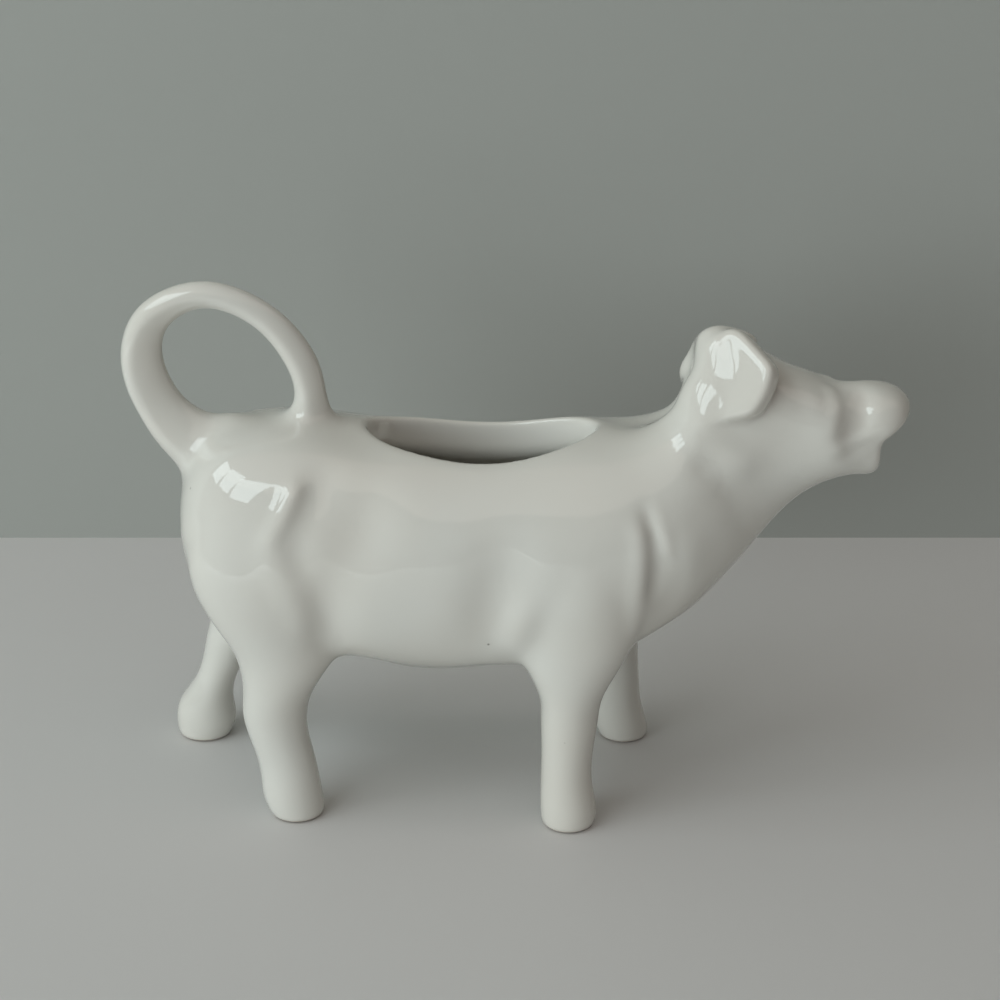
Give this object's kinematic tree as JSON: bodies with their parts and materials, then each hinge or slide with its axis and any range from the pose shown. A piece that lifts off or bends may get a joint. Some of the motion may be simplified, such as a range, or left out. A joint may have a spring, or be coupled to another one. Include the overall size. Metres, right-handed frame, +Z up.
{
  "type": "cow creamer",
  "caption": "Cow-shaped cream jug in white glazed porcelain: oval filler opening in the back, looped tail as handle, milk poured from the open mouth.",
  "frame": {"origin": "middle of the part's box, on the surface that the soles stand on", "axes": "+X from tail to nose, +Y to the cow's left side, +Z up"},
  "size_m": [0.1676, 0.054, 0.1158],
  "materials": {
    "glaze": "gloss"
  },
  "bodies": {
    "root": {"trunk_shell": "glaze", "head_shell": "glaze", "tail_handle": "glaze", "left_ear": "glaze", "right_ear": "glaze", "front_left_leg": "glaze", "front_right_leg": "glaze", "rear_left_leg": "glaze", "rear_right_leg": "glaze"}
  },
  "joints": []
}
